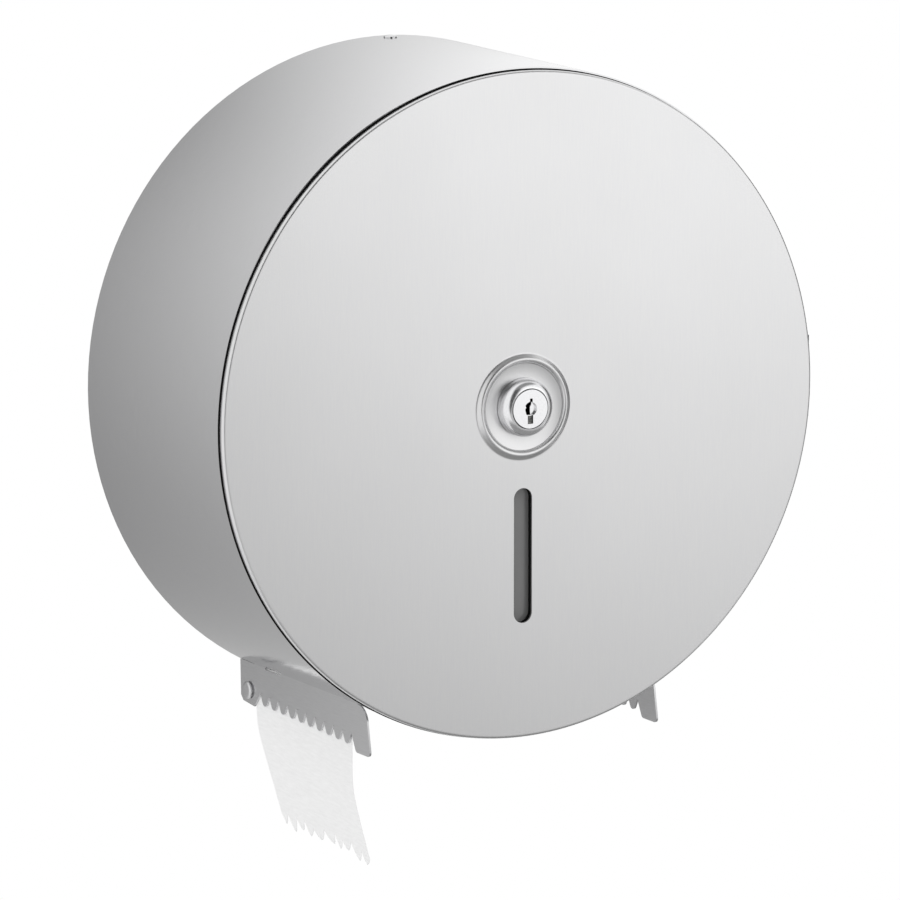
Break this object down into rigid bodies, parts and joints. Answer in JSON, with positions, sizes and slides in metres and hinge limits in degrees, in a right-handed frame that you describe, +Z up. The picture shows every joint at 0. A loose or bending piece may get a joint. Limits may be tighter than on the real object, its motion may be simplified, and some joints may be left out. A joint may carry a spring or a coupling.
{
  "type": "jumbo toilet roll dispenser",
  "caption": "Round wall-mounted jumbo toilet roll dispenser with a side-hinged, centre-locked cover, a viewing slot, serrated tear bars and a hanging paper tail.",
  "frame": {"origin": "the drum's axis on the wall plane, the middle of the circle of wall screw holes", "axes": "+Y into the wall, -Y the front, +Z up, +X the right as seen from the front"},
  "size_m": [0.2775, 0.1256, 0.329],
  "materials": {
    "drum_steel": "satin, fine grain",
    "cover_steel": "satin, fine upright grain",
    "bar_steel": "satin, mill grain",
    "rivet_steel": "plain",
    "zinc_steel": "bright zinc plated",
    "lock_chrome": "satin chrome plated",
    "black_rubber": "matt",
    "hub_plastic": "moulded",
    "smoked_acrylic": "clear, smoked",
    "core_board": "plain board",
    "tissue": "soft, creped"
  },
  "bodies": {
    "housing": {"back_plate": "drum_steel", "bar_brackets": "drum_steel", "drum_wall": "drum_steel", "drum_rivets": "rivet_steel", "rim_seal": "black_rubber", "left_tear_bar": "bar_steel", "right_tear_bar": "bar_steel", "tear_bar_rivets": "bar_steel", "spindle": "zinc_steel", "spindle_rivets": "rivet_steel", "catch_plate": "zinc_steel", "hub_ring": "zinc_steel", "tissue_tail": "tissue", "drum_hinge_leaf": "zinc_steel", "hinge_pin": "zinc_steel", "hinge_rivets": "rivet_steel"},
    "roll": {"roll_hub": "hub_plastic", "roll_core": "core_board", "paper_roll": "tissue"},
    "cover": {"front_cover": "cover_steel", "window_gasket": "black_rubber", "level_window": "smoked_acrylic", "window_studs": "zinc_steel", "window_nuts": "zinc_steel", "lock_housing": "lock_chrome", "lock_nut": "zinc_steel", "cover_hinge_leaf": "zinc_steel"},
    "lock": {"lock_plug": "lock_chrome", "plug_clip": "zinc_steel", "lock_cam": "zinc_steel", "cam_screw": "zinc_steel"}
  },
  "joints": [
    {"name": "cover_hinge", "type": "hinge", "parent": "housing", "child": "cover", "pos_m": [0.1373, -0.1135, 0], "axis": [0, 0, 1], "range_deg": [0, 120]},
    {"name": "lock_turn", "type": "hinge", "parent": "cover", "child": "lock", "pos_m": [0, -0.112, -0.0006], "axis": [0, 1, 0], "range_deg": [0, 90]},
    {"name": "roll_spin", "type": "hinge", "parent": "housing", "child": "roll", "pos_m": [0, -0.055, 0], "axis": [0, 1, 0], "continuous": true}
  ]
}
